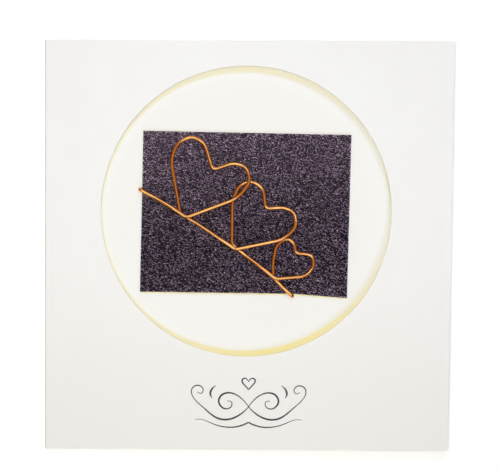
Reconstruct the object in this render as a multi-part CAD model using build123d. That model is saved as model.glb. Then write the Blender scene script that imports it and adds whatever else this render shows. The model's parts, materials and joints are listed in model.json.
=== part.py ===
"""Hand-made window card, 140 mm square, lying closed on its back.

One sheet is folded at the left. Its front leaf has a round window, and stands a few millimetres open at
the fore-edge. A hand-cut patch of pebbled leather is glued to the page behind the window. One piece of
copper wire lies on the patch, bent into a slanted line with three hearts, and hooks over the patch's edges.

Millimetres, +Z up. The origin is on the surface that the card lies on, under the middle of the card.
+X runs from the fold to the fore-edge, and +Y to the top of the card.
"""

import math
import os

from build123d import *

# Card
card_width = 140.0
card_height = 140.8
out_of_square = 0.6  # the trimmed fore-edge leans out by this much at the top and in at the foot
sheet = 0.4
fold_inside = 0.4  # inside radius of the fold
fore_edge_gap = 4.0  # between the leaves, where they end

# Window
window_diameter = 100.0
window_left_of_middle = 0.6
window_below_top = 8.6  # from the top edge to the rim

# Leather patch, hand-cut, so that each corner strays from a true rectangle
patch_width = 71.8
patch_height = 55.7
patch_thickness = 0.9
patch_turn = -1.3  # degrees, clockwise
patch_right_of_window = -0.2
patch_below_window = 0.7
corner_strays = {
    "top_left": (-0.1, -0.3),
    "top_right": (-0.1, 0.3),
    "foot_right": (0.0, -0.5),
    "foot_left": (0.1, -0.1),
}
foot_nick_from_right = 19.0  # where the foot's two knife strokes meet
foot_nick = 0.5  # how far they meet inside a straight foot

# Copper wire
wire_diameter = 1.3
wire_sides = 16  # narrow flats round the wire, which keep a wire of this length light to mesh
glue_film = 0.03  # under the wire
strand_gap = 0.05  # between strands that cross
hook_clearance = 0.1  # between a hooked end and the patch's edge
hook_lift = 0.05  # from a hooked end to the page
hook_bend = 0.8  # bend radii, all to the wire's axis
tip_bend = 2.5
notch_bend = 1.5
easy_bend = 40.0  # elsewhere, where the runs on both sides allow it

# Worked out from the above
fold_x = -(card_width + out_of_square) / 2
fore_edge_x = fold_x + card_width
slope = math.atan((fore_edge_gap - 2 * fold_inside) / card_width)
page_z = sheet
window_x = fold_x + card_width / 2 - window_left_of_middle
window_y = card_height / 2 - window_below_top - window_diameter / 2
patch_x = window_x + patch_right_of_window
patch_y = window_y - patch_below_window
patch_top = page_z + patch_thickness
strand_step = wire_diameter + strand_gap
low_strand_z = patch_top + glue_film + wire_diameter / 2

# The wire's corners: millimetres right of and above the middle of the patch, the height in strands, and
# the widest bend. Each heart goes from its tip up the right flank, round the right lobe, the notch and the
# left lobe, and down the left flank to pass under the strand that arrived. Arcs cut inside the corners.
line_to_heart_1 = [
    (-31.4, 5.4, 0, easy_bend),
    (-25.4, 2.0, 1, easy_bend),
]
heart_1 = [
    (-20.4, -1.4, 1, tip_bend),
    (-2.6, 5.3, 1, easy_bend),
    (1.7, 11.3, 1, easy_bend),
    (-0.1, 16.2, 1, easy_bend),
    (-4.4, 17.4, 0.5, easy_bend),
    (-11.5, 15.0, 0, notch_bend),
    (-14.3, 24.2, 0, easy_bend),
    (-18.5, 26.6, 0, easy_bend),
    (-23.6, 24.3, 0, easy_bend),
    (-25.8, 18.3, 0, easy_bend),
    (-22.5, -0.2, 0, tip_bend),
]
line_to_heart_2 = [
    (-17.8, -2.8, 0, easy_bend),
    (-8.4, -9.0, 1, easy_bend),
]
heart_2 = [
    (-3.5, -12.3, 1, tip_bend),
    (13.0, -8.9, 1, easy_bend),
    (17.5, -4.5, 1, easy_bend),
    (16.8, 0.4, 0.5, easy_bend),
    (13.3, 2.2, 0, easy_bend),
    (6.8, 1.7, 0, notch_bend),
    (6.1, 8.5, 0, easy_bend),
    (2.4, 11.3, 0, easy_bend),
    (-2.1, 10.0, 0, easy_bend),
    (-4.6, 4.7, 0, easy_bend),
    (-4.7, -10.7, 0, tip_bend),
]
line_to_heart_3 = [
    (-0.3, -14.2, 0, easy_bend),
    (6.0, -18.9, 1, easy_bend),
]
heart_3 = [
    (10.3, -22.4, 1, tip_bend),
    (21.0, -21.5, 0.5, easy_bend),
    (23.7, -18.3, 0, easy_bend),
    (23.2, -14.6, 0, easy_bend),
    (20.8, -13.8, 0, easy_bend),
    (17.4, -13.7, 0, notch_bend),
    (16.7, -9.9, 0, easy_bend),
    (14.0, -8.4, 0, easy_bend),
    (10.6, -10.9, 0, easy_bend),
    (9.4, -17.1, 0, easy_bend),
    (9.7, -22.1, 0, tip_bend),
]
line_out = [(13.3, -25.8, 0, easy_bend)]
left_hook_height = 8.2  # up the patch's left edge from its middle, where the wire comes over it
foot_hook_right = 16.4  # along the patch's foot from its middle, where the wire leaves over it


def patch_outline():
    """The patch's corners, clockwise from the top left, with the nick in its foot."""
    half_width = patch_width / 2
    half_height = patch_height / 2
    true_places = [
        (-half_width, half_height, "top_left"),
        (half_width, half_height, "top_right"),
        (half_width, -half_height, "foot_right"),
        (half_width - foot_nick_from_right, -half_height + foot_nick, None),
        (-half_width, -half_height, "foot_left"),
    ]
    outline = []
    for x, y, name in true_places:
        stray_x, stray_y = corner_strays.get(name, (0, 0))
        place = Vector(x + stray_x, y + stray_y, 0).rotate(Axis.Z, patch_turn)
        outline.append(Vector(patch_x, patch_y, 0) + place)
    return outline


def beyond_edge(start, end, distance, x=None, y=None):
    """The point at this x or y on a clockwise edge of the patch, moved out of it by the distance."""
    along = (end - start).normalized()
    outward = Vector(-along.Y, along.X, 0)
    if x is not None:
        share = (x - start.X) / (end.X - start.X)
    else:
        share = (y - start.Y) / (end.Y - start.Y)
    return start + (end - start) * share + outward * distance


def card():
    """One sheet: the back leaf lies flat, the fold is a half round, and the front leaf rises to the right."""
    middle = Vector(fold_x + fold_inside + sheet, sheet + fold_inside)
    outside = fold_inside + sheet
    along = Vector(math.cos(slope), math.sin(slope))
    up = Vector(-math.sin(slope), math.cos(slope))
    round_back = Vector(-1, 0).rotate(Axis.Z, math.degrees(slope) / 2)
    reach = card_width + out_of_square
    with BuildSketch() as section:
        with BuildLine():
            bottom = Line((fore_edge_x + out_of_square, 0), (middle.X, 0))
            outer = ThreePointArc(bottom @ 1, middle + round_back * outside, middle + up * outside)
            top = Line(outer @ 1, outer @ 1 + along * reach)
            end = Line(top @ 1, top @ 1 - up * sheet)
            inner_top = Line(end @ 1, middle + up * fold_inside)
            inner = ThreePointArc(inner_top @ 1, middle + round_back * fold_inside, (middle.X, sheet))
            page = Line(inner @ 1, (fore_edge_x + out_of_square, sheet))
            Line(page @ 1, bottom @ 0)
        make_face()
    sheet_body = extrude(Plane.XZ * section.sketch, card_height / 2, both=True)

    half_height = card_height / 2
    trim = make_face(Polyline(
        (fold_x - 1, -half_height),
        (fore_edge_x - out_of_square, -half_height),
        (fore_edge_x + out_of_square, half_height),
        (fold_x - 1, half_height),
        close=True,
    ))
    trimmed = sheet_body & extrude(trim, 2 * (fore_edge_gap + 2 * sheet), both=True)

    from_fold = (window_x - middle.X) / math.cos(slope)
    leaf_middle = middle + up * (fold_inside + sheet / 2) + along * from_fold
    window_plane = Plane(origin=(leaf_middle.X, window_y, leaf_middle.Y), x_dir=(along.X, 0, along.Y),
                         z_dir=(up.X, 0, up.Y))
    return trimmed - window_plane * Cylinder(window_diameter / 2, sheet + fold_inside)


def leather_patch():
    """A hand-cut piece of leather, face to face on the page."""
    outline = make_face(Polyline(*patch_outline(), close=True))
    return Pos(0, 0, page_z) * extrude(outline, patch_thickness)


def copper_wire():
    """One wire, hooked over the patch's left edge and over its foot."""
    top_left, top_right, foot_right, nick, foot_left = patch_outline()
    stand_off = hook_clearance + wire_diameter / 2
    left_hook = beyond_edge(foot_left, top_left, stand_off, y=patch_y + left_hook_height)
    foot_hook = beyond_edge(foot_right, nick, stand_off, x=patch_x + foot_hook_right)
    hook_foot_z = page_z + hook_lift

    bent = line_to_heart_1 + heart_1 + line_to_heart_2 + heart_2 + line_to_heart_3 + heart_3 + line_out
    corners = [Vector(left_hook.X, left_hook.Y, low_strand_z)]
    corners += [Vector(patch_x + x, patch_y + y, low_strand_z + level * strand_step) for x, y, level, _ in bent]
    corners += [Vector(foot_hook.X, foot_hook.Y, low_strand_z)]
    widest = [hook_bend] + [bend for x, y, level, bend in bent] + [hook_bend]
    start = Vector(left_hook.X, left_hook.Y, hook_foot_z)
    end = Vector(foot_hook.X, foot_hook.Y, hook_foot_z)
    route = [start] + corners + [end]

    radii = []
    for before, corner, after, bend in zip(route, corners, route[2:], widest):
        half_turn = math.radians((corner - before).get_angle(after - corner)) / 2
        shorter = min((corner - before).length, (after - corner).length)
        radii.append(min(0.45 * shorter / math.tan(half_turn), bend))
    path = FilletPolyline(*route, radius=radii)
    section = Plane(origin=path @ 0, z_dir=path % 0) * RegularPolygon(wire_diameter / 2, wire_sides)
    wire = sweep(section, path=path)

    print("bend radii:", ", ".join(f"{radius:.1f}" for radius in radii))
    expected = section.area * path.length
    print(f"wire {path.length:.1f} mm long, volume {wire.volume:.2f} against {expected:.2f} mm3")
    return wire


parts = {"card": card(), "leather_patch": leather_patch(), "copper_wire": copper_wire()}
os.makedirs("parts", exist_ok=True)
for name, shape in parts.items():
    export_step(shape, f"parts/{name}.step")
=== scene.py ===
# %% [markdown]
# # A window card with copper hearts
#
# The object is a square card of heavy white stock, folded once at the left. Its front leaf has a round
# window. On the page behind the window sits a patch of dark pebbled leather, and on the leather lies one
# copper wire, bent into a slanted line with three hearts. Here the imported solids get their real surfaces.
#
# Everything is in metres, with +Z out of the front of the card. The card lies on its back.

# %% Load the frame
import json
import math

import bmesh
import bpy
from mathutils import Matrix, Vector

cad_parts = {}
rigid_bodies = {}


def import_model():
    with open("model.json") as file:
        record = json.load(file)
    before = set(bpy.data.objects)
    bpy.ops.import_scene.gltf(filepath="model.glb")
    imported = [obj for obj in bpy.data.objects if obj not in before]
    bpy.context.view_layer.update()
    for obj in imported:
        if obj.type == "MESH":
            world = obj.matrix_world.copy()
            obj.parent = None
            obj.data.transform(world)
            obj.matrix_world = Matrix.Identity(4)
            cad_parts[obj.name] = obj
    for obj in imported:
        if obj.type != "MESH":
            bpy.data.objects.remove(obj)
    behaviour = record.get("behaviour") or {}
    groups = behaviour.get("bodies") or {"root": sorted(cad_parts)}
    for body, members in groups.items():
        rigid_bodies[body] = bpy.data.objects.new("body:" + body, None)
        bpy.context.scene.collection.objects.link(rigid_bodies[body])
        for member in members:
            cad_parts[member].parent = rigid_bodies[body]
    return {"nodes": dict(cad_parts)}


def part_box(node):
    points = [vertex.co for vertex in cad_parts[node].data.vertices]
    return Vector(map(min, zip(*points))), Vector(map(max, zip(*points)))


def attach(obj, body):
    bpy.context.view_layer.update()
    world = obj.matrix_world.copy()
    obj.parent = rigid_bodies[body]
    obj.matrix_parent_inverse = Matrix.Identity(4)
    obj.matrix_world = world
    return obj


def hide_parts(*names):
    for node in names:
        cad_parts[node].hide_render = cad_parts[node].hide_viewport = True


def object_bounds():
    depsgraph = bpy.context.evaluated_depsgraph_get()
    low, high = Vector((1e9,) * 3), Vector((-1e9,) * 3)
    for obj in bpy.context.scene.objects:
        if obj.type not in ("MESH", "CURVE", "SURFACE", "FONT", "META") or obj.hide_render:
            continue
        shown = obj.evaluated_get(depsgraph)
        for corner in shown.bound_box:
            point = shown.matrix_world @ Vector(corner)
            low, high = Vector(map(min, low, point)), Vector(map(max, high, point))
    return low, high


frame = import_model()
cad_box = [list(corner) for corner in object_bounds()]
mm = 0.001


def in_mm(values):
    return [round(value / mm, 2) for value in values]


print("nodes:", sorted(frame["nodes"]), "box in mm:", [in_mm(corner) for corner in cad_box])

# %% [markdown]
# ## Helpers
#
# Every operator acts on what is selected, and loading the frame leaves its solids selected, so each piece
# starts with nothing selected. These helpers clear the selection, make one object active, select faces in
# edit mode by a rule on their place or normal, and say how large a finished mesh is.


# %% Selection helpers
def deselect_all():
    for item in bpy.context.view_layer.objects:
        item.select_set(False)


def make_active(item):
    deselect_all()
    item.select_set(True)
    bpy.context.view_layer.objects.active = item


def select_faces(item, rule):
    """In edit mode, select the faces for which the rule is true, and nothing else."""
    bpy.ops.mesh.select_mode(type="FACE")
    bpy.ops.mesh.select_all(action="DESELECT")
    mesh = bmesh.from_edit_mesh(item.data)
    for face in mesh.faces:
        face.select_set(rule(face))
    bmesh.update_edit_mesh(item.data)


def report(item):
    triangles = sum(len(polygon.vertices) - 2 for polygon in item.data.polygons)
    print(f"{item.name}: {len(item.data.vertices)} points, {triangles} triangles")


print("selected after loading:", len(bpy.context.selected_objects))
deselect_all()
print("selected after clearing:", len(bpy.context.selected_objects))

# %% [markdown]
# ## The leather's outline
#
# The patch was cut by hand with a knife, so none of its corners is a true right angle, and the foot was cut
# in two strokes that meet at a small nick. The outline could be typed in again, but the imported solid
# already holds it. Reading its upper corners keeps the dressed piece exactly where the solid is.

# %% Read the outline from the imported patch
leather_low, leather_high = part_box("leather_patch")
leather_thickness = leather_high[2] - leather_low[2]
same_height = 0.01 * mm
patch_points = {
    (round(point.co.x, 6), round(point.co.y, 6))
    for point in frame["nodes"]["leather_patch"].data.vertices
    if point.co.z > leather_high[2] - same_height
}
patch_middle = Vector((
    (leather_low[0] + leather_high[0]) / 2,
    (leather_low[1] + leather_high[1]) / 2,
    leather_high[2],
))
outline = [Vector((x, y, leather_high[2])) for x, y in patch_points]
outline.sort(key=lambda point: math.atan2(point.y - patch_middle.y, point.x - patch_middle.x))
print("leather outline, anticlockwise:", [in_mm(corner.xy) for corner in outline])
print(f"leather thickness: {leather_thickness / mm:.2f} mm")

# %% [markdown]
# ## The leather's blank
#
# Pebbled leather needs many small faces, so that its grain can be real relief. One face with the outline's
# corners could be subdivided, but that makes slivers beside the nick. A fine grid has even cells all over.
# It is laid over the patch and cut down to the outline with straight cuts, as with a knife and ruler.

# %% Lay a fine grid over the patch
grain_cell = 0.215 * mm
grid_margin = 1 * mm
patch_size = Vector((leather_high[0] - leather_low[0], leather_high[1] - leather_low[1]))
grid_width = patch_size.x + 2 * grid_margin
grid_height = patch_size.y + 2 * grid_margin
deselect_all()
bpy.ops.mesh.primitive_grid_add(
    x_subdivisions=round(grid_width / grain_cell),
    y_subdivisions=round(grid_height / grain_cell),
    size=1,
    location=patch_middle,
)
leather = bpy.context.object
leather.name = "pebbled_leather_patch"
leather.scale = (grid_width, grid_height, 1)
bpy.ops.object.transform_apply(location=True, rotation=True, scale=True)
report(leather)

# %% [markdown]
# ## The knife cuts
#
# Each side of the outline is one straight cut, and what lies outside it falls away. A cut that runs on past
# the nick would take too much away, so the grid is first split there, and the two cuts that meet at the
# nick each act on their own half. The nick is the one corner of the outline that turns inwards.


# %% Cut the grid to the outline
def outward(start, end):
    """Square to an edge of the outline, which runs anticlockwise, and out of the patch."""
    along = (end - start).normalized()
    return Vector((along.y, -along.x, 0))


def turns_left(before, corner, after):
    return (corner - before).cross(after - corner).z > 0


cut_tolerance = 0.001 * mm
edges = list(zip(outline, outline[1:] + outline[:1]))
nick = next(
    corner
    for before, corner, after in zip(outline[-1:] + outline[:-1], outline, outline[1:] + outline[:1])
    if not turns_left(before, corner, after)
)
make_active(leather)
bpy.ops.object.mode_set(mode="EDIT")
bpy.ops.mesh.select_all(action="SELECT")
bpy.ops.mesh.bisect(plane_co=nick, plane_no=(1, 0, 0), threshold=cut_tolerance)
for start, end in edges:
    meets_nick = nick in (start, end)
    side = 1 if (start + end).x / 2 > nick.x else -1
    select_faces(leather, lambda face: not meets_nick or (face.calc_center_median().x - nick.x) * side > 0)
    bpy.ops.mesh.bisect(
        plane_co=start, plane_no=outward(start, end), clear_outer=True, threshold=cut_tolerance
    )
bpy.ops.object.mode_set(mode="OBJECT")
print("nick at:", in_mm(nick.xy))
report(leather)

# %% [markdown]
# ## The leather's thickness
#
# A knife drags the grain down a little as it cuts, so the rim of the top is set slightly lower. A Solidify
# modifier would fill the hidden side with as many faces as the top, so the open edge is pulled down to the
# page by hand and closed with one face, because nobody sees the glued side.

# %% Give it a cut edge and a back
rim_drop = 0.09 * mm
bpy.ops.object.mode_set(mode="EDIT")
bpy.ops.mesh.select_mode(type="EDGE")
bpy.ops.mesh.select_all(action="SELECT")
bpy.ops.mesh.region_to_loop()
bpy.ops.transform.translate(value=(0, 0, -rim_drop))
bpy.ops.mesh.extrude_edges_move(
    TRANSFORM_OT_translate={"value": (0, 0, rim_drop - leather_thickness)}
)
bpy.ops.mesh.edge_face_add()
bpy.ops.mesh.select_all(action="SELECT")
bpy.ops.mesh.normals_make_consistent(inside=False)
bpy.ops.object.mode_set(mode="OBJECT")
report(leather)

# %% [markdown]
# ## Where the grain reaches
#
# The knife has pressed the grain flat along the rim. A vertex group says how much of the relief each point
# gets: nothing at the rim, all of it a little farther in, and a smooth rise between.


# %% Fade the grain out at the rim
def distance_inside(point):
    """How far a point of the leather is inside its outline."""
    distances = []
    for start, end in edges:
        along = end - start
        share = (point - start).dot(along) / along.length_squared
        nearest = start + along * min(1, max(0, share))
        distances.append((point - nearest).xy.length)
    return min(distances)


flat_rim = 0.7 * mm
grain_group = leather.vertex_groups.new(name="grain")
grained = 0
for point in leather.data.vertices:
    if point.co.z > leather_high[2] - rim_drop / 2:
        share = min(1, distance_inside(point.co) / flat_rim)
        grain_group.add([point.index], share * share * (3 - 2 * share), "REPLACE")
        grained += 1
print(f"grain on {grained} of {len(leather.data.vertices)} points, fading over {flat_rim / mm:.1f} mm")

# %% [markdown]
# ## The pebbled grain
#
# The pebbles are low and flat-topped, about a millimetre across, with narrow creases between them. They
# could be sculpted one by one, but there are thousands. A Voronoi texture can give the difference between
# the distances to the two nearest of many scattered points, which is nothing along the creases and most on
# the pebbles. A cloud texture adds a slow swell. Both press down from the solid's own height, so the tops
# of the pebbles stay within a few hundredths of a millimetre of it.

# %% Press the grain into the top
pebble_depth = 0.17 * mm
swell_depth = 0.06 * mm
crease_angle = math.radians(60)
pebbles = bpy.data.textures.new("leather_pebbles", "VORONOI")
pebbles.noise_scale = 1.25 * mm
pebbles.weight_1 = -1
pebbles.weight_2 = 1
pebbles.noise_intensity = 2.4
swell = bpy.data.textures.new("leather_swell", "CLOUDS")
swell.noise_scale = 5 * mm


def press(texture, strength, middle):
    """Move the grain by this strength, up where the texture is over its middle and down where under."""
    make_active(leather)
    relief = leather.modifiers.new(texture.name, "DISPLACE")
    relief.texture = texture
    relief.texture_coords = "LOCAL"
    relief.direction = "Z"
    relief.vertex_group = "grain"
    relief.strength = strength
    relief.mid_level = middle
    bpy.ops.object.modifier_apply(modifier=relief.name)


press(pebbles, pebble_depth, 1)
press(swell, -swell_depth, 0.2)
bpy.ops.object.shade_smooth_by_angle(angle=crease_angle)
heights = [point.co.z for point in leather.data.vertices]
print(f"leather from {min(heights) / mm:.3f} to {max(heights) / mm:.3f} mm")

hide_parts("leather_patch")
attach(leather, "root")

# %% [markdown]
# ## The painted shadow along the patch's foot
#
# The patch is glued down, and along its foot it throws a thin warm shadow on the page. That shadow is
# painted as a low pale amber bead. It could be painted on the page itself, but here it is a piece: a curve
# with a round section, laid along the foot from corner to corner through the nick, and flattened to a low
# bead. Its width wanders a little.

# %% Lay the painted shadow bead
# painted shadow: a pale amber bead along the patch's foot, where the patch shades the page
shadow_bead_half_width = 0.6 * mm
shadow_bead_height = 0.2 * mm
bead_step = 2 * mm
foot = sorted((corner for corner in outline if corner.y < patch_middle.y), key=lambda corner: corner.x)
bead = []
for start, end in zip(foot, foot[1:]):
    steps = round((end - start).length / bead_step)
    bead += [start.lerp(end, step / steps) for step in range(1 if bead else 0, steps + 1)]

shadow_bead_curve = bpy.data.curves.new("painted_patch_shadow", "CURVE")
shadow_bead_curve.dimensions = "3D"
shadow_bead_curve.bevel_depth = shadow_bead_half_width
shadow_bead_curve.bevel_resolution = 3
shadow_bead_curve.use_fill_caps = True
spline = shadow_bead_curve.splines.new("POLY")
spline.points.add(len(bead) - 1)
for number, (target, place) in enumerate(zip(spline.points, bead)):
    wander = 0.2 * math.sin(number * 1.9) * math.sin(number * 0.7)
    target.co = (place.x, place.y, 0, 1)
    target.radius = 0.8 + wander
spline.points[0].radius = spline.points[-1].radius = 0.3
print("foot corners:", [in_mm(corner.xy) for corner in foot], "points on the bead:", len(bead))

# %% Flatten the bead onto the page
smooth_angle = math.radians(50)
shadow_bead = bpy.data.objects.new("painted_patch_shadow", shadow_bead_curve)
bpy.context.scene.collection.objects.link(shadow_bead)
make_active(shadow_bead)
bpy.ops.object.convert(target="MESH")
shadow_bead = bpy.context.object
shadow_bead.scale = (1, 1, shadow_bead_height / shadow_bead_half_width)
shadow_bead.location.z = leather_low[2]
bpy.ops.object.transform_apply(location=True, rotation=True, scale=True)
bpy.ops.object.shade_smooth_by_angle(angle=smooth_angle)
report(shadow_bead)
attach(shadow_bead, "root")

# %% [markdown]
# ## The copper wire
#
# One length of 1.3 mm copper wire was bent round pliers into three hearts. It could be swept again along a
# curve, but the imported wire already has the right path. It has narrow flats all round, to keep it light. A
# merged copy of it can be shaded as a round wire, and its ends get the small rounded edge that cutters and
# a file leave.

# %% Make the round wire
end_rounding = 0.12 * mm
end_sharpness = math.radians(60)
wire_mesh = frame["nodes"]["copper_wire"].data.copy()
wire = bpy.data.objects.new("bent_copper_wire", wire_mesh)
bpy.context.scene.collection.objects.link(wire)
make_active(wire)
bpy.ops.mesh.customdata_custom_splitnormals_clear()
bpy.ops.object.mode_set(mode="EDIT")
bpy.ops.mesh.select_all(action="SELECT")
bpy.ops.mesh.remove_doubles(threshold=0.0005 * mm)
bpy.ops.mesh.tris_convert_to_quads(face_threshold=math.radians(20), shape_threshold=math.radians(60))
bpy.ops.mesh.select_all(action="DESELECT")
bpy.ops.mesh.select_mode(type="EDGE")
bpy.ops.mesh.edges_select_sharp(sharpness=end_sharpness)
bpy.ops.mesh.bevel(offset=end_rounding, segments=3, clamp_overlap=True)
bpy.ops.object.mode_set(mode="OBJECT")
bpy.ops.object.shade_smooth_by_angle(angle=smooth_angle)
report(wire)

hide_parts("copper_wire")
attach(wire, "root")

# %% [markdown]
# ## The leaf that carries the print
#
# The front leaf rises a little from the fold to the fore-edge. The ink has to lie on it, so the leaf's
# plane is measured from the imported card: its slope, and its height at any place. The leaf's faces are the
# large ones whose normals point nearly straight up, but not quite, as the level page's do.

# %% Measure the front leaf
nearly_up = 0.9
level = 0.99999
smallest_area = 1 * mm * mm
card = frame["nodes"]["card"]
leaf_faces = [
    face for face in card.data.polygons
    if nearly_up < face.normal.z < level and face.area > smallest_area
]
leaf_normal = sum((face.normal * face.area for face in leaf_faces), Vector()).normalized()
leaf_point = leaf_faces[0].center
leaf_slope = math.atan2(-leaf_normal.x, leaf_normal.z)


def leaf_height(x):
    return leaf_point.z - (x - leaf_point.x) * leaf_normal.x / leaf_normal.z


print(f"front leaf: {math.degrees(leaf_slope):.2f} degrees, {leaf_height(0) / mm:.2f} mm up at the middle")

# %% [markdown]
# ## The printed flourish
#
# Under the window the card has a small pen flourish in dark ink. A pen stroke swells where the nib is
# pressed on the way down and thins on the way up. A drawn picture could be laid on the card, but it would
# blur from near by. So each stroke is a smooth spline whose points carry their own width: millimetres
# right of and above the flourish's middle, and the width as a share of the nib's. The strokes are drawn
# once and mirrored, as such ornaments are.

# %% Plan the strokes
strokes = {
    "great_swash": [
        (0, -1.0, 0.5), (2.2, -3.6, 0.9), (6.5, -6.0, 1.2), (11.5, -5.2, 1.1), (15.2, -1.6, 0.7),
        (19.2, 1.6, 0.5), (20.4, 5.2, 0.7), (17.4, 7.0, 0.8), (14.9, 4.9, 0.6), (16.4, 2.9, 0.5),
        (17.7, 4.1, 0.4),
    ],
    "inner_scroll": [
        (0, -1.0, 0.5), (1.6, 1.4, 0.6), (5.0, 4.2, 0.8), (9.4, 3.8, 1.2), (11.0, 0.4, 1.1),
        (8.2, -2.4, 0.8), (5.2, -1.0, 0.6), (5.8, 1.3, 0.5), (7.4, 0.9, 0.4),
    ],
    "foot_line": [
        (0, -6.4, 0.9), (3.2, -8.2, 0.9), (8.6, -8.4, 0.7), (13.4, -6.6, 0.5), (16.6, -5.0, 0.4),
        (18.4, -5.6, 0.3),
    ],
    "small_leaf": [
        (12.6, 2.0, 0.3), (13.3, 3.0, 1.1), (13.3, 4.3, 1.4), (12.4, 5.6, 0.9), (11.3, 6.3, 0.3),
    ],
    "heart": [
        (0, 4.9, 0.7), (1.2, 6.4, 0.7), (2.6, 7.5, 1.0), (2.0, 9.1, 0.9), (0.5, 8.9, 0.6), (0, 7.6, 0.5),
    ],
}
widest = max(x for points in strokes.values() for x, y, width in points)
print(f"flourish: {len(strokes)} strokes, each drawn twice, {2 * widest:.1f} mm wide")

# %% Draw the strokes
ink_half_width = 0.28 * mm
flourish_curve = bpy.data.curves.new("ink_flourish", "CURVE")
flourish_curve.dimensions = "3D"
flourish_curve.bevel_depth = ink_half_width
flourish_curve.bevel_resolution = 2
flourish_curve.resolution_u = 10
flourish_curve.use_fill_caps = True
for points in strokes.values():
    for side in (1, -1):
        spline = flourish_curve.splines.new("NURBS")
        spline.points.add(len(points) - 1)
        for target, (x, y, width) in zip(spline.points, points):
            target.co = (side * x * mm, y * mm, 0, 1)
            target.radius = width
        spline.order_u = 4
        spline.use_endpoint_u = True
print("splines drawn:", len(flourish_curve.splines))

# %% [markdown]
# ## The film of ink
#
# Printed ink is a film on the paper, far thinner than it is wide. The strokes come out round, like thread,
# so they are made a mesh, flattened to a film, tilted as the leaf is, and laid on it.

# %% Flatten the ink onto the leaf
ink_film = 0.02 * mm
flourish_middle = Vector((0.15 * mm, -54.6 * mm))
ink = bpy.data.objects.new("ink_flourish", flourish_curve)
bpy.context.scene.collection.objects.link(ink)
make_active(ink)
bpy.ops.object.convert(target="MESH")
ink = bpy.context.object
ink.scale = (1, 1, ink_film / (2 * ink_half_width))
bpy.ops.object.transform_apply(location=False, rotation=False, scale=True)
ink.rotation_euler = (0, -leaf_slope, 0)
ink.location = (flourish_middle.x, flourish_middle.y, leaf_height(flourish_middle.x))
bpy.ops.object.transform_apply(location=True, rotation=True, scale=True)
bpy.ops.object.shade_smooth_by_angle(angle=smooth_angle)
report(ink)
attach(ink, "root")

# %% [markdown]
# ## Shared finish: a slow mottle
#
# No real surface has one even colour. Paper, leather and metal all vary a little from place to place, each
# at its own scale. The same few nodes could be built again in each material, but one node group makes that
# variation for all, and each material gives it its own values.


# %% The mottle group
def new_group(name, inputs, outputs):
    """A new node group with these sockets, and its two nodes that take in and give out."""
    group = bpy.data.node_groups.new(name, "ShaderNodeTree")
    for kind, label, value in inputs:
        socket = group.interface.new_socket(label, in_out="INPUT", socket_type=kind)
        if value is not None:
            socket.default_value = value
    for kind, label in outputs:
        group.interface.new_socket(label, in_out="OUTPUT", socket_type=kind)
    return group, group.nodes.new("NodeGroupInput"), group.nodes.new("NodeGroupOutput")


def link(tree, source, target):
    tree.links.new(source, target)


mottle, given, made = new_group(
    "slow_mottle",
    [
        ("NodeSocketVector", "Place", None),
        ("NodeSocketFloat", "Scale", 100.0),
        ("NodeSocketColor", "Light", (1, 1, 1, 1)),
        ("NodeSocketColor", "Dark", (0.8, 0.8, 0.8, 1)),
        ("NodeSocketFloat", "Detail", 4.0),
    ],
    [("NodeSocketColor", "Colour"), ("NodeSocketFloat", "Mask")],
)
cloud = mottle.nodes.new("ShaderNodeTexNoise")
spread = mottle.nodes.new("ShaderNodeMapRange")
spread.inputs["From Min"].default_value = 0.3
spread.inputs["From Max"].default_value = 0.7
blend = mottle.nodes.new("ShaderNodeMix")
blend.data_type = "RGBA"
link(mottle, given.outputs["Place"], cloud.inputs["Vector"])
link(mottle, given.outputs["Scale"], cloud.inputs["Scale"])
link(mottle, given.outputs["Detail"], cloud.inputs["Detail"])
link(mottle, cloud.outputs["Fac"], spread.inputs["Value"])
link(mottle, spread.outputs["Result"], blend.inputs["Factor"])
link(mottle, given.outputs["Light"], blend.inputs["A"])
link(mottle, given.outputs["Dark"], blend.inputs["B"])
link(mottle, blend.outputs["Result"], made.inputs["Colour"])
link(mottle, spread.outputs["Result"], made.inputs["Mask"])
print("mottle group:", len(mottle.nodes), "nodes,", len(mottle.links), "links")

# %% [markdown]
# ## Card stock
#
# The card is heavy, smooth, matte white stock. Seen close, paper is a felt of fibres: it has a faint
# mottle, a fine tooth, and where it is cut, the edge shows its layers and is a little creamier than the
# coated face. One white over all would look like plastic. A photograph of paper would need unwrapping and
# blur from near by, so the tones are worked out from each point's place on the card, in metres.
#
# A material is a small program of nodes. Each helper below adds one kind of node and gives back what comes
# out of it, and is defined where it is first needed.


# %% Start the card stock
def new_material(name):
    """A new node material, its tree, and its Principled shader."""
    material = bpy.data.materials.new(name)
    material.use_nodes = True
    tree = material.node_tree
    return material, tree, tree.nodes["Principled BSDF"]


def add_place(tree):
    """Where the point is on the object, in metres."""
    return tree.nodes.new("ShaderNodeTexCoord").outputs["Object"]


def split_axes(tree, vector):
    """The X, Y and Z of a vector."""
    node = tree.nodes.new("ShaderNodeSeparateXYZ")
    link(tree, vector, node.inputs["Vector"])
    return node.outputs


paper, tree, shader = new_material("white_card_stock")
place = add_place(tree)
spot = split_axes(tree, place)
normal = split_axes(tree, tree.nodes.new("ShaderNodeNewGeometry").outputs["Normal"])
print("card stock starts with:", [node.bl_label for node in tree.nodes])

# %% [markdown]
# ## The card's cut edges
#
# The cut edges could be picked by hand and given a material of their own. Their normals tell them apart
# without that, because they point sideways. The fold's normals do so too, but it isn't cut, so it is left
# out by its place.


# %% Find the cut edges
def add_math(tree, operation, first, second=None):
    """A sum on one or two values, each a socket or a plain number."""
    node = tree.nodes.new("ShaderNodeMath")
    node.operation = operation
    for socket, value in zip(node.inputs, (first, second)):
        if isinstance(value, (int, float)):
            socket.default_value = value
        elif value is not None:
            link(tree, value, socket)
    return node.outputs["Value"]


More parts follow.
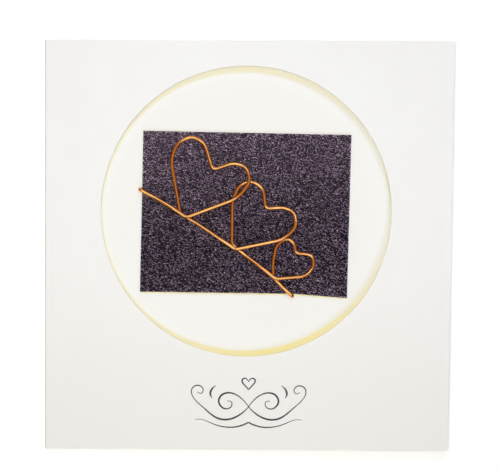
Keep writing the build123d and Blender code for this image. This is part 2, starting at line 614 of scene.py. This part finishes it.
def add_range(tree, value, low, high, out_low=0.0, out_high=1.0):
    """A smooth step, from one value at low to another at high."""
    node = tree.nodes.new("ShaderNodeMapRange")
    node.interpolation_type = "SMOOTHSTEP"
    node.inputs["From Min"].default_value = low
    node.inputs["From Max"].default_value = high
    node.inputs["To Min"].default_value = out_low
    node.inputs["To Max"].default_value = out_high
    link(tree, value, node.inputs["Value"])
    return node.outputs["Result"]


fold_end = cad_box[0][0] + 1 * mm
sideways = add_range(tree, add_math(tree, "ABSOLUTE", normal["Z"]), low=0.6, high=0.3)
past_fold = add_range(tree, spot["X"], fold_end - 0.1 * mm, fold_end + 0.1 * mm)
cut_edge = add_math(tree, "MULTIPLY", sideways, past_fold)
print(f"cut edges: right of {fold_end / mm:.1f} mm, where the fold has ended")

# %% [markdown]
# ## The card's whites
#
# The cover is a neutral white, with a painted shade that makes it darker and warmer toward its foot, where
# less light falls. The page inside is a shade warmer than the cover. Both are faces of one sheet, so they
# share one material and are told apart by their height.


# %% Tone the faces and the edges
def add_mottle(tree, place, scale, light, dark, detail=4.0):
    """The shared mottle, with its own spots per metre, two colours and fineness."""
    node = tree.nodes.new("ShaderNodeGroup")
    node.node_tree = mottle
    node.inputs["Scale"].default_value = scale
    node.inputs["Light"].default_value = (*light, 1)
    node.inputs["Dark"].default_value = (*dark, 1)
    node.inputs["Detail"].default_value = detail
    link(tree, place, node.inputs["Place"])
    return node


def add_mix(tree, factor, first, second):
    """Mix two colours, each a socket or a plain colour."""
    node = tree.nodes.new("ShaderNodeMix")
    node.data_type = "RGBA"
    link(tree, factor, node.inputs["Factor"])
    for label, value in (("A", first), ("B", second)):
        if isinstance(value, tuple):
            node.inputs[label].default_value = (*value, 1)
        else:
            link(tree, value, node.inputs[label])
    return node.outputs["Result"]


cover_light = (0.897, 0.894, 0.877)
cover_dark = (0.880, 0.875, 0.853)
# painted shade: the cover grows darker and warmer toward its foot, where less light falls
painted_foot_shade = (0.870, 0.855, 0.818)
page_white = (0.899, 0.888, 0.851)
layer_light = (0.90, 0.86, 0.68)
layer_dark = (0.82, 0.76, 0.55)
page_height = leather_low[2]

face_tone = add_mottle(tree, place, 70, cover_light, cover_dark)
toward_foot = add_range(tree, spot["Y"], 0, -60 * mm)
cover_with_foot_shade = add_mix(tree, toward_foot, face_tone.outputs["Colour"], painted_foot_shade)
on_page = add_range(tree, spot["Z"], page_height + 0.2 * mm, page_height + 0.1 * mm)
cover_or_page = add_mix(tree, on_page, cover_with_foot_shade, page_white)
edge_layers = add_mottle(tree, place, 900, layer_light, layer_dark, detail=6)
print(f"page at {page_height / mm:.2f} mm, card stock has {len(tree.nodes)} nodes so far")

# %% [markdown]
# ## The painted shadow ring
#
# Just inside the window's rim a cream tone is painted on the page as shadow, most at the foot and the top:
# it stands for the warm shade that the raised rim throws there, on top of the real shadow from the lamps. It
# could be a painted picture, but its form is simple: the distance from the window's middle tells how far out
# a point lies, and the direction from there tells how wide and how deep the ring is. So the window is
# measured first. Its rim's corners are the only ones of the card that lie well inside its outline.

# %% Measure the window
search_across = 60 * mm
search_up = 68 * mm
rim = [
    point.co for point in card.data.vertices
    if abs(point.co.x) < search_across and abs(point.co.y) < search_up
]
window_middle = Vector((
    (min(p.x for p in rim) + max(p.x for p in rim)) / 2,
    (min(p.y for p in rim) + max(p.y for p in rim)) / 2,
    0,
))
window_radius = (max(p.y for p in rim) - min(p.y for p in rim)) / 2
print("window middle:", in_mm(window_middle), f"radius {window_radius / mm:.2f} mm")


# %% Work out the ring
def add_vector_math(tree, operation, first, second=None):
    """Vector arithmetic on one or two vectors, each a socket or a plain vector."""
    node = tree.nodes.new("ShaderNodeVectorMath")
    node.operation = operation
    for socket, value in zip(node.inputs, (first, second)):
        if isinstance(value, (tuple, Vector)):
            socket.default_value = value
        elif value is not None:
            link(tree, value, socket)
    return node.outputs["Value" if operation in ("LENGTH", "DOT_PRODUCT") else "Vector"]


from_middle = add_vector_math(tree, "SUBTRACT", place, window_middle)
across = add_vector_math(tree, "MULTIPLY", from_middle, (1, 1, 0))
reach = add_vector_math(tree, "LENGTH", across)
direction = add_vector_math(tree, "NORMALIZE", across)


def add_by_direction(base, changes):
    """A value round the ring: a base, and what it changes by toward some directions, in degrees."""
    total = base
    for degrees, change in changes:
        angle = math.radians(degrees)
        facing = add_vector_math(tree, "DOT_PRODUCT", direction, (math.cos(angle), math.sin(angle), 0))
        share = add_math(tree, "POWER", add_math(tree, "MAXIMUM", facing, 0.0), 3.0)
        total = add_math(tree, "ADD", add_math(tree, "MULTIPLY", share, change), total)
    return total


soft_edge = 0.25 * mm
ring_width = add_by_direction(0.9 * mm, ((-74, 0.9 * mm), (90, 1.1 * mm), (0, -0.5 * mm)))
ring_depth = add_by_direction(0.35, ((-75, 0.62), (90, 0.03), (0, -0.18)))
ring_start = add_math(tree, "SUBTRACT", window_radius, ring_width)
past_start = add_math(tree, "SUBTRACT", reach, ring_start)
in_ring = add_math(tree, "MULTIPLY", add_range(tree, past_start, -soft_edge, soft_edge), on_page)
ring = add_math(tree, "MULTIPLY", in_ring, ring_depth)
print(f"card stock has {len(tree.nodes)} nodes with its ring")

# %% [markdown]
# ## The card's finish
#
# The painted shadow ring is laid over the whites, and the cut edges over both. Matte stock has hardly any
# shine. Its tooth is far too fine to model, so a bump leans the light a little at each fibre, without moving
# the surface. The fibres run up the card, so the noise is stretched that way.


# %% Finish the card stock
def add_noise(tree, place, scale, detail=3.0, stretch=(1, 1, 1)):
    """A cloudy value with so many spots per metre, stretched along an axis where its factor is under 1."""
    mapping = tree.nodes.new("ShaderNodeMapping")
    mapping.inputs["Scale"].default_value = stretch
    noise = tree.nodes.new("ShaderNodeTexNoise")
    noise.inputs["Scale"].default_value = scale
    noise.inputs["Detail"].default_value = detail
    link(tree, place, mapping.inputs["Vector"])
    link(tree, mapping.outputs["Vector"], noise.inputs["Vector"])
    return noise.outputs["Fac"]


def add_bump(tree, shader, height, depth):
    """Lean the light as if the surface rose and fell by this depth."""
    bump = tree.nodes.new("ShaderNodeBump")
    bump.inputs["Distance"].default_value = depth
    link(tree, height, bump.inputs["Height"])
    link(tree, bump.outputs["Normal"], shader.inputs["Normal"])


def dress(item, material):
    """Give a piece this material and no other."""
    item.data.materials.clear()
    item.data.materials.append(material)
    print(f"{item.name}: {material.name}, {len(material.node_tree.nodes)} nodes")


# painted shadow: a cream tone just inside the window's rim, where the raised rim shades the page
painted_shadow_cream = (0.94, 0.84, 0.425)
with_rim_shadow = add_mix(tree, ring, cover_or_page, painted_shadow_cream)
link(tree, add_mix(tree, cut_edge, with_rim_shadow, edge_layers.outputs["Colour"]), shader.inputs["Base Color"])
shader.inputs["Roughness"].default_value = 0.78
shader.inputs["Specular IOR Level"].default_value = 0.25
tooth = add_noise(tree, place, 2200, detail=4, stretch=(1, 0.45, 1))
add_bump(tree, shader, tooth, 0.012 * mm)
dress(card, paper)

# %% [markdown]
# ## Pebbled leather
#
# The leather is finished plum-black and satin. The creases between the pebbles are dull and get a painted
# shade, and the knife-cut edge shows raw brown fibre. Both could be painted by hand, point by point, but the
# mesh already tells them apart: a crease is low, and the edge's normal points sideways.

# %% Find the pebbles and the cut edge
hide, tree, shader = new_material("plum_black_leather")
place = add_place(tree)
spot = split_axes(tree, place)
normal = split_axes(tree, tree.nodes.new("ShaderNodeNewGeometry").outputs["True Normal"])
crease_height = leather_high[2] - pebble_depth
top_height = leather_high[2] - 0.04 * mm
raised = add_range(tree, spot["Z"], crease_height, top_height)
cut_edge = add_range(tree, add_math(tree, "ABSOLUTE", normal["Z"]), low=0.35, high=0.15)
print(f"creases at {crease_height / mm:.2f} mm, pebble tops from {top_height / mm:.2f} mm")

# %% [markdown]
# ## The leather's fine grain and its painted glints
#
# The pebbles carry a finer grain of short slanting strokes, about half a millimetre long. Each stroke's top
# gets a pale painted glint, each by its own amount. As relief it would need millions of faces. A flat
# Voronoi pattern, turned and stretched, draws it instead: it gives the distance to each stroke's middle, and
# a random tone for each stroke.

# %% Draw the fine grain
grains_per_metre = 3100
grain_slant = math.radians(-18)
grain_stretch = 1.9
slanted = tree.nodes.new("ShaderNodeMapping")
slanted.vector_type = "TEXTURE"
slanted.inputs["Rotation"].default_value = (0, 0, grain_slant)
slanted.inputs["Scale"].default_value = (grain_stretch, 1, 1)
link(tree, place, slanted.inputs["Vector"])
grains = tree.nodes.new("ShaderNodeTexVoronoi")
grains.voronoi_dimensions = "2D"
grains.inputs["Scale"].default_value = grains_per_metre
link(tree, slanted.outputs["Vector"], grains.inputs["Vector"])
grain_tone = tree.nodes.new("ShaderNodeSeparateColor")
link(tree, grains.outputs["Color"], grain_tone.inputs["Color"])
# painted highlights: a pale glint at the middle of each grain stroke
glint_spot = add_range(tree, grains.outputs["Distance"], low=0.66, high=0.0)
painted_glints_and_sheen = add_math(tree, "MULTIPLY", add_math(tree, "POWER", grain_tone.outputs["Red"], 2.0), glint_spot)
grain_width = 1 / grains_per_metre
print(f"fine grain: {grain_width / mm:.2f} mm wide, {grain_width * grain_stretch / mm:.2f} mm long")

# %% [markdown]
# ## The leather's painted shade and sheen
#
# The painted glints are brightest on the pebbles and dimmer in the creases, and they grow and fade slowly
# from place to place. A painted sheen pales the leather toward its top and left, where it also gets a faint
# painted haze of reflected light. A look like this could be painted as a picture, but single factors that
# are multiplied can be changed one by one.

# %% Paint the leather's shade and sheen
patch_top = 41 * mm
# painted shade: the glints are dimmed in the creases, where the pebbles shade each other
painted_crease_shade = add_range(tree, raised, 0, 1, out_low=0.5, out_high=1.2)
slow = add_range(tree, add_noise(tree, place, 60, detail=2), 0.3, 0.7, out_low=0.71, out_high=0.82)
# painted sheen: paler toward the top and the left, with a faint haze of reflected light
painted_sheen_by_height = add_range(tree, spot["Y"], 0, patch_top, out_low=1.0, out_high=1.3)
for painted_light_factor in (painted_crease_shade, slow, painted_sheen_by_height):
    painted_glints_and_sheen = add_math(tree, "MULTIPLY", painted_glints_and_sheen, painted_light_factor)
painted_sheen_haze = add_range(tree, spot["Y"], 0, patch_top, out_low=0.0, out_high=0.018)
sheen_toward_left = add_range(tree, spot["X"], -10 * mm, -38 * mm, out_low=1.0, out_high=1.5)
painted_glints_and_sheen = add_math(tree, "ADD", painted_glints_and_sheen, add_math(tree, "MULTIPLY", painted_sheen_haze, sheen_toward_left))
print(f"leather has {len(tree.nodes)} nodes with its wear")

# %% [markdown]
# ## The leather's finish
#
# The painted glints and sheen pick a colour between the leather's black and a pale plum. The finish is satin
# on the pebbles and duller in the creases. The finest wrinkles are too small to model or to draw one by one,
# so a noise leans the light at them, as for the paper's tooth.

# %% Finish the leather
leather_black = (0.004, 0.001, 0.003)
# the pale plum is the colour of the painted glints and sheen
painted_glint_plum = (0.98, 0.72, 0.94)
fibre_light = (0.075, 0.05, 0.045)
fibre_dark = (0.03, 0.02, 0.02)
tone = add_mix(tree, painted_glints_and_sheen, leather_black, painted_glint_plum)
raw_fibre = add_mottle(tree, place, 1500, fibre_light, fibre_dark, detail=5)
link(tree, add_mix(tree, cut_edge, tone, raw_fibre.outputs["Colour"]), shader.inputs["Base Color"])
link(tree, add_range(tree, raised, 0, 1, out_low=0.5, out_high=0.3), shader.inputs["Roughness"])
shader.inputs["Specular IOR Level"].default_value = 0.06
wrinkles = add_noise(tree, place, 1500, detail=2, stretch=(1, 1, 0.3))
add_bump(tree, shader, wrinkles, 0.15 * mm)
dress(leather, hide)

# %% [markdown]
# ## Bright copper
#
# Drawn copper wire is bright, and a thin clear lacquer keeps it so. Handling has left it a little browner
# in places. As a metal it takes its look from what it reflects, so its colour is the tint of that
# reflection, and the lacquer adds a paler shine of its own over it. That is what the Principled shader's
# coat is for, so the lacquer needs no shell of its own.

# %% The copper material
copper_bright = (0.94, 0.34, 0.042)
copper_brown = (0.82, 0.24, 0.024)
grazing_tint = (0.9, 0.45, 0.2)
copper, tree, shader = new_material("drawn_copper")
place = add_place(tree)
tarnish = add_mottle(tree, place, 180, copper_bright, copper_brown)
link(tree, tarnish.outputs["Colour"], shader.inputs["Base Color"])
worn = add_range(tree, tarnish.outputs["Mask"], 0, 1, out_low=0.08, out_high=0.13)
link(tree, worn, shader.inputs["Roughness"])
shader.inputs["Metallic"].default_value = 1.0
shader.inputs["Specular Tint"].default_value = (*grazing_tint, 1)
shader.inputs["Coat Weight"].default_value = 1.0
shader.inputs["Coat Roughness"].default_value = 0.15
drawing_marks = add_noise(tree, place, 1800, detail=2)
add_bump(tree, shader, drawing_marks, 0.006 * mm)
dress(wire, copper)

# %% [markdown]
# ## The painted shadow's colour
#
# The bead is painted shadow: a plain amber surface in the warm tint of the shade along the patch's foot. It
# is smooth and a little glossy, and its tint varies a little from place to place.

# %% The painted shadow's material
# painted shadow colours for the bead along the patch's foot
shadow_amber_light = (0.96, 0.86, 0.46)
shadow_amber_dark = (0.93, 0.80, 0.34)
shadow_bead_paint, tree, shader = new_material("painted_shadow_amber")
amber_mottle = add_mottle(tree, add_place(tree), 300, shadow_amber_light, shadow_amber_dark)
link(tree, amber_mottle.outputs["Colour"], shader.inputs["Base Color"])
dulled = add_range(tree, amber_mottle.outputs["Mask"], 0, 1, out_low=0.3, out_high=0.45)
link(tree, dulled, shader.inputs["Roughness"])
dress(shadow_bead, shadow_bead_paint)

# %% [markdown]
# ## Printing ink
#
# The flourish is offset printed in a dark brownish plum ink, which soaks in a little and dries nearly
# matte. Its density changes slightly along the strokes, as the paper takes it up unevenly, and the shared
# mottle gives that at a fine scale.

# %% The ink material
ink_deep = (0.030, 0.007, 0.010)
ink_thin = (0.056, 0.022, 0.026)
pen_ink, tree, shader = new_material("plum_ink")
density = add_mottle(tree, add_place(tree), 900, ink_deep, ink_thin)
link(tree, density.outputs["Colour"], shader.inputs["Base Color"])
shader.inputs["Roughness"].default_value = 0.6
dress(ink, pen_ink)

# %% [markdown]
# ## The table
#
# The card lies on a plain white table, which isn't part of the object. For the camera it is full white, as
# a studio sweep is: near the card it keeps the card's shadow, and farther off it fades into an even white.
# For the light that bounces from it, it is a normal white paint. A brighter lamp could whiten a painted
# table too, but it would wash out the card, so a Light Path node tells the two uses apart.

# %% Lay the table
table_size = 6
deselect_all()
bpy.ops.mesh.primitive_plane_add(size=table_size, location=(0, 0, 0))
floor = bpy.context.object
floor.name = "studio_floor"
print(f"{floor.name}: {table_size} m square")


# %% Whiten the table for the camera
def add_seen(tree):
    """1 for what the camera sees, by itself or in a mirror or through glass, and 0 for other light."""
    path = tree.nodes.new("ShaderNodeLightPath")
    seen = add_math(tree, "MAXIMUM", path.outputs["Is Camera Ray"], path.outputs["Is Glossy Ray"])
    return add_math(tree, "MAXIMUM", seen, path.outputs["Is Transmission Ray"])


def add_shader_mix(tree, factor, first, second):
    """Mix two shaders by their outputs."""
    node = tree.nodes.new("ShaderNodeMixShader")
    for socket, source in zip(node.inputs, (factor, first, second)):
        link(tree, source, socket)
    return node.outputs["Shader"]


shadow_lift = 0.115
even_from = 0.11
even_to = 0.3
white, tree, shader = new_material("studio_white")
tree.nodes.remove(shader)
paint = tree.nodes.new("ShaderNodeBsdfDiffuse")
paint.inputs["Color"].default_value = (0.8, 0.8, 0.8, 1)
full_white = tree.nodes.new("ShaderNodeBsdfDiffuse")
full_white.inputs["Color"].default_value = (1, 1, 1, 1)
lift = tree.nodes.new("ShaderNodeEmission")
lift.inputs["Strength"].default_value = shadow_lift
lifted = tree.nodes.new("ShaderNodeAddShader")
link(tree, full_white.outputs["BSDF"], lifted.inputs[0])
link(tree, lift.outputs["Emission"], lifted.inputs[1])
sweep = tree.nodes.new("ShaderNodeEmission")
away = add_range(tree, add_vector_math(tree, "LENGTH", add_place(tree)), even_from, even_to)
near_to_far = add_shader_mix(tree, away, lifted.outputs["Shader"], sweep.outputs["Emission"])
table_white = add_shader_mix(tree, add_seen(tree), paint.outputs["BSDF"], near_to_far)
link(tree, table_white, tree.nodes["Material Output"].inputs["Surface"])
dress(floor, white)

# %% [markdown]
# ## The room's light
#
# Most of the light comes from above. The room's ceiling is pale, and its walls are dim and warm, which
# gives the wire its dark brown edges. A picture of a room could light the scene, but two tones that change
# with the height above the horizon are enough for so small an object. Low on the horizon is a white band
# that only the camera and reflections see, so that the table has no dark end in a low view.

# %% Soft light all round
wall_tone = (0.130, 0.080, 0.030)
ceiling_tone = (0.46, 0.43, 0.35)
world = bpy.data.worlds.new("soft_room")
bpy.context.scene.world = world
world.use_nodes = True
tree = world.node_tree
room = tree.nodes["Background"]
height = split_axes(tree, tree.nodes.new("ShaderNodeTexCoord").outputs["Generated"])["Z"]
overhead = add_range(tree, height, 0.60, 0.78)
link(tree, add_mix(tree, overhead, wall_tone, ceiling_tone), room.inputs["Color"])
horizon = tree.nodes.new("ShaderNodeBackground")
horizon.inputs["Color"].default_value = (1, 1, 1, 1)
in_band = add_math(tree, "MULTIPLY", add_seen(tree), add_range(tree, height, low=0.12, high=0.07))
surroundings = add_shader_mix(tree, in_band, room.outputs["Background"], horizon.outputs["Background"])
link(tree, surroundings, tree.nodes["World Output"].inputs["Surface"])
print(f"{world.name}: {len(tree.nodes)} nodes")

# %% [markdown]
# ## The lamps
#
# A softbox hangs near the camera. Two smaller cool lamps beyond the top and the lower right of the card
# throw the narrow shadows of the window's rim. These three are left out of reflections, where they would
# be small glaring spots. Five wide reflectors are seen in reflections alone, and draw the bright lines
# along the wire. Lamp power is hard to judge by itself, so each lamp is set by the share of white that it
# adds to the card, and its power is worked out from that.


# %% Set the lamps
def add_lamp(name, direction, distance, radius, light):
    """A round lamp whose light, as it falls on the card, is this part of what shows white as white."""
    toward = Vector(direction).normalized()
    deselect_all()
    bpy.ops.object.light_add(type="AREA", location=toward * distance)
    lamp = bpy.context.object
    lamp.name = name
    lamp.data.shape = "DISK"
    lamp.data.size = 2 * radius
    lamp.data.color = [part / max(light) for part in light]
    lamp.rotation_euler = toward.to_track_quat("Z", "Y").to_euler()
    lamp.data.energy = max(light) * math.pi ** 2 * distance ** 2 / toward.z
    print(f"{name}: {lamp.data.energy:.3f} W")
    return lamp


for name, direction, distance, radius, light in (
    ("lamp_beyond_top", (0.05, 0.9, 1.0), 0.7, 0.085, (0.08, 0.10, 0.17)),
    ("lamp_lower_right", (0.25, -0.92, 0.95), 1.5, 0.18, (0.06, 0.08, 0.15)),
    ("softbox_overhead", (-0.065, 0.06, 1.0), 0.39, 0.05, (0.601, 0.590, 0.503)),
):
    lamp = add_lamp(name, direction, distance, radius, light)
    lamp.visible_glossy = False

cool_card = (0.070, 0.135, 0.250)
dim_card = (0.016, 0.014, 0.010)
reflector_distance = 0.9
for name, direction, radius, light in (
    ("reflector_top_left", (-0.12, 0.62, 1.0), 0.21, cool_card),
    ("reflector_top_right", (0.44, 0.50, 1.0), 0.21, cool_card),
    ("reflector_foot_left", (-0.36, -0.52, 1.0), 0.21, cool_card),
    ("reflector_foot_right", (0.14, -0.62, 1.0), 0.21, cool_card),
    ("reflector_middle", (0.0, 0.0, 1.0), 0.27, dim_card),
):
    reflector = add_lamp(name, direction, reflector_distance, radius, light)
    reflector.visible_diffuse = False

# %% [markdown]
# ## The camera
#
# The card was photographed from nearly straight above, from a little to the left of its middle and toward
# its top, so its outline is almost square in the picture. A camera could be aimed by eye. Here its turns
# are three small angles, found by matching the card's corners, and applied one after the other.

# %% Place the camera
camera_data = bpy.data.cameras.new("camera")
camera_data.lens = 78.91
camera_data.sensor_width = 36
camera = bpy.data.objects.new("camera", camera_data)
bpy.context.scene.collection.objects.link(camera)
roll = Matrix.Rotation(math.radians(0.238), 3, "Z")
tilt_x = Matrix.Rotation(math.radians(-1.525), 3, "X")
tilt_y = Matrix.Rotation(math.radians(-1.157), 3, "Y")
camera.location = (-7.28 * mm, 14.10 * mm, 380 * mm)
camera.rotation_euler = (roll @ tilt_x @ tilt_y).to_euler("XYZ")
bpy.context.scene.camera = camera
print("camera in mm:", in_mm(camera.location), "lens:", round(camera_data.lens, 2))

# %% [markdown]
# ## Finish
#
# The colours are shown as they are, with no film look.

# %% View and finish
bpy.context.scene.view_settings.view_transform = "Standard"
